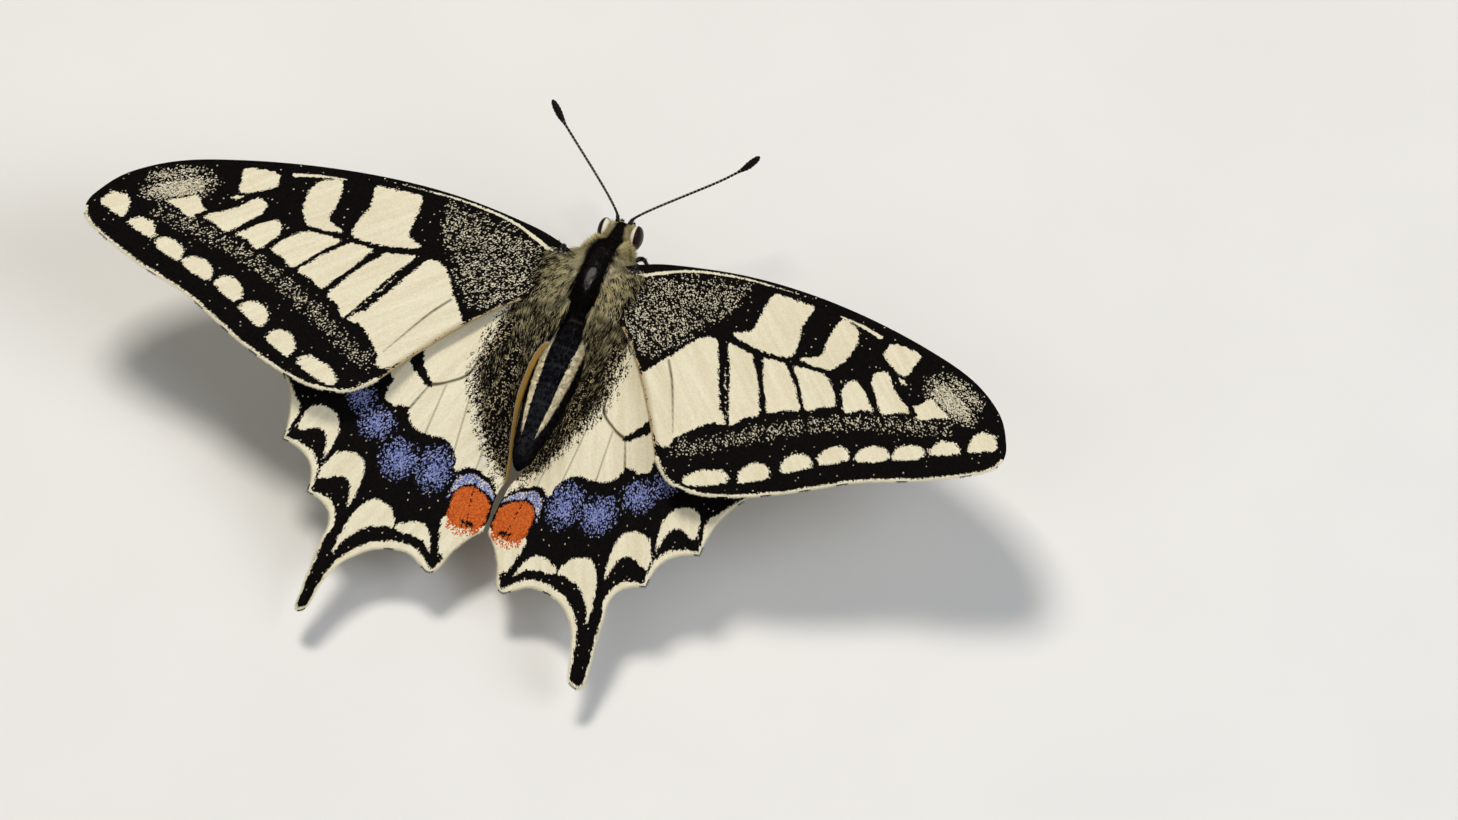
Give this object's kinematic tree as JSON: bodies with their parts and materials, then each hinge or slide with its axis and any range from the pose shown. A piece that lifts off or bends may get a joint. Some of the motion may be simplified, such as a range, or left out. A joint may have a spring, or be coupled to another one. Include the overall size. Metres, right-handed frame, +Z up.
{
  "type": "swallowtail butterfly",
  "caption": "Life-size Old World swallowtail butterfly standing on its feet, tailed wings spread nearly flat, feelers raised forwards.",
  "frame": {"origin": "on the floor, under the centre of the whole animal's box", "axes": "+X the butterfly's right, +Y its head end, +Z up"},
  "size_m": [0.0812, 0.0524, 0.016],
  "materials": {
    "wing_scales": "matt cream and black scales",
    "body_hair": "long olive and black hair",
    "black_cuticle": "satin black",
    "eye_lens": "glossy, finely faceted"
  },
  "bodies": {
    "root": {"forewing_L": "wing_scales", "forewing_R": "wing_scales", "hindwing_L": "wing_scales", "hindwing_R": "wing_scales", "head": "body_hair", "thorax": "body_hair", "abdomen": "body_hair", "palp_L": "body_hair", "palp_R": "body_hair", "antenna_L": "black_cuticle", "antenna_R": "black_cuticle", "proboscis": "black_cuticle", "fore_leg_L": "black_cuticle", "fore_leg_R": "black_cuticle", "mid_leg_L": "black_cuticle", "mid_leg_R": "black_cuticle", "hind_leg_L": "black_cuticle", "hind_leg_R": "black_cuticle", "eye_L": "eye_lens", "eye_R": "eye_lens"}
  },
  "joints": []
}
